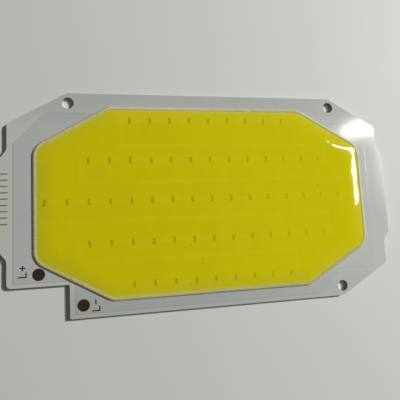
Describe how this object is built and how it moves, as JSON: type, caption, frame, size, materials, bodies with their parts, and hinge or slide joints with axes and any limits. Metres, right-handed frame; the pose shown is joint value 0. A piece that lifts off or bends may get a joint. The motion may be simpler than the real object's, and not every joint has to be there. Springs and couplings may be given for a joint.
{
  "type": "chip-on-board led module",
  "caption": "Flat light source: aluminium circuit board with bevelled corners and a wire notch, carrying an octagonal pool of yellow phosphor silicone in a raised bead over rows of chips.",
  "frame": {"origin": "centre of the board's underside", "axes": "+X along the board's length, +Y across it towards the edge with two screw holes, +Z out of the lit face"},
  "size_m": [0.12, 0.0646, 0.002],
  "materials": {
    "aluminium_base": "mill, punched edge",
    "dielectric": "filled resin film",
    "copper": "etched foil",
    "white_mask": "semi-gloss printed coat",
    "pad_coat": "dark tarnished solder finish",
    "chip": "polished sapphire",
    "solder": "reflowed solder",
    "white_silicone": "glossy milky silicone",
    "phosphor_silicone": "glossy yellow silicone"
  },
  "bodies": {
    "root": {"base_plate": "aluminium_base", "dielectric_layer": "dielectric", "positive_copper": "copper", "negative_copper": "copper", "solder_mask": "white_mask", "positive_pad_coat": "pad_coat", "negative_pad_coat": "pad_coat", "bead": "white_silicone", "phosphor_pool": "phosphor_silicone", "chip_row_1": "chip", "positive_joints_row_1": "solder", "negative_joints_row_1": "solder", "chip_row_2": "chip", "positive_joints_row_2": "solder", "negative_joints_row_2": "solder", "chip_row_3": "chip", "positive_joints_row_3": "solder", "negative_joints_row_3": "solder", "chip_row_4": "chip", "positive_joints_row_4": "solder", "negative_joints_row_4": "solder", "chip_row_5": "chip", "positive_joints_row_5": "solder", "negative_joints_row_5": "solder"}
  },
  "joints": []
}
